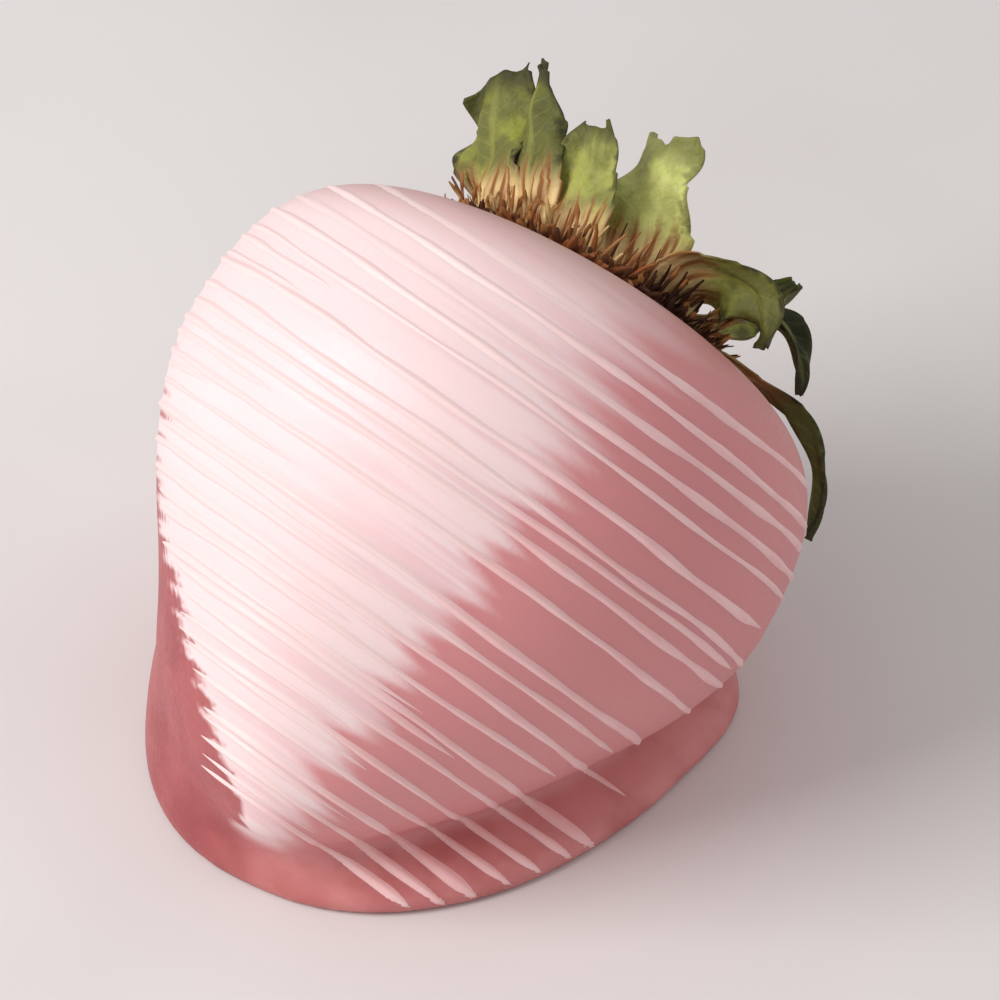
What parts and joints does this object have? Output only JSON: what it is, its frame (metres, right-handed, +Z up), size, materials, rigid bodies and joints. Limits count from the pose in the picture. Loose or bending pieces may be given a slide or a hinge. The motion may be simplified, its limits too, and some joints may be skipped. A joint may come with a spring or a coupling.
{
  "type": "chocolate coated strawberry",
  "caption": "Large strawberry dipped in pink chocolate and drizzled with fine lines, lying on its pooled chocolate foot, with a curled leafy crown.",
  "frame": {"origin": "on the flat underside of the chocolate foot, below the centre of the berry's widest ring", "axes": "+Z up from the table; the berry's axis lies in the YZ plane, tip towards -Y and down, leafy crown towards +Y and up"},
  "size_m": [0.046, 0.0563, 0.0441],
  "materials": {
    "chocolate": "satin pink chocolate",
    "flesh": "moist red fruit flesh",
    "calyx": "drying green stem and calyx",
    "leaf": "curled green leaf, browning at its edges"
  },
  "bodies": {
    "root": {"coating": "chocolate", "fruit": "flesh", "calyx": "calyx", "sepal_01": "leaf", "sepal_02": "leaf", "sepal_03": "leaf", "sepal_04": "leaf", "sepal_05": "leaf", "sepal_06": "leaf", "sepal_07": "leaf", "sepal_08": "leaf", "sepal_09": "leaf", "sepal_10": "leaf", "sepal_11": "leaf", "sepal_12": "leaf"}
  },
  "joints": []
}
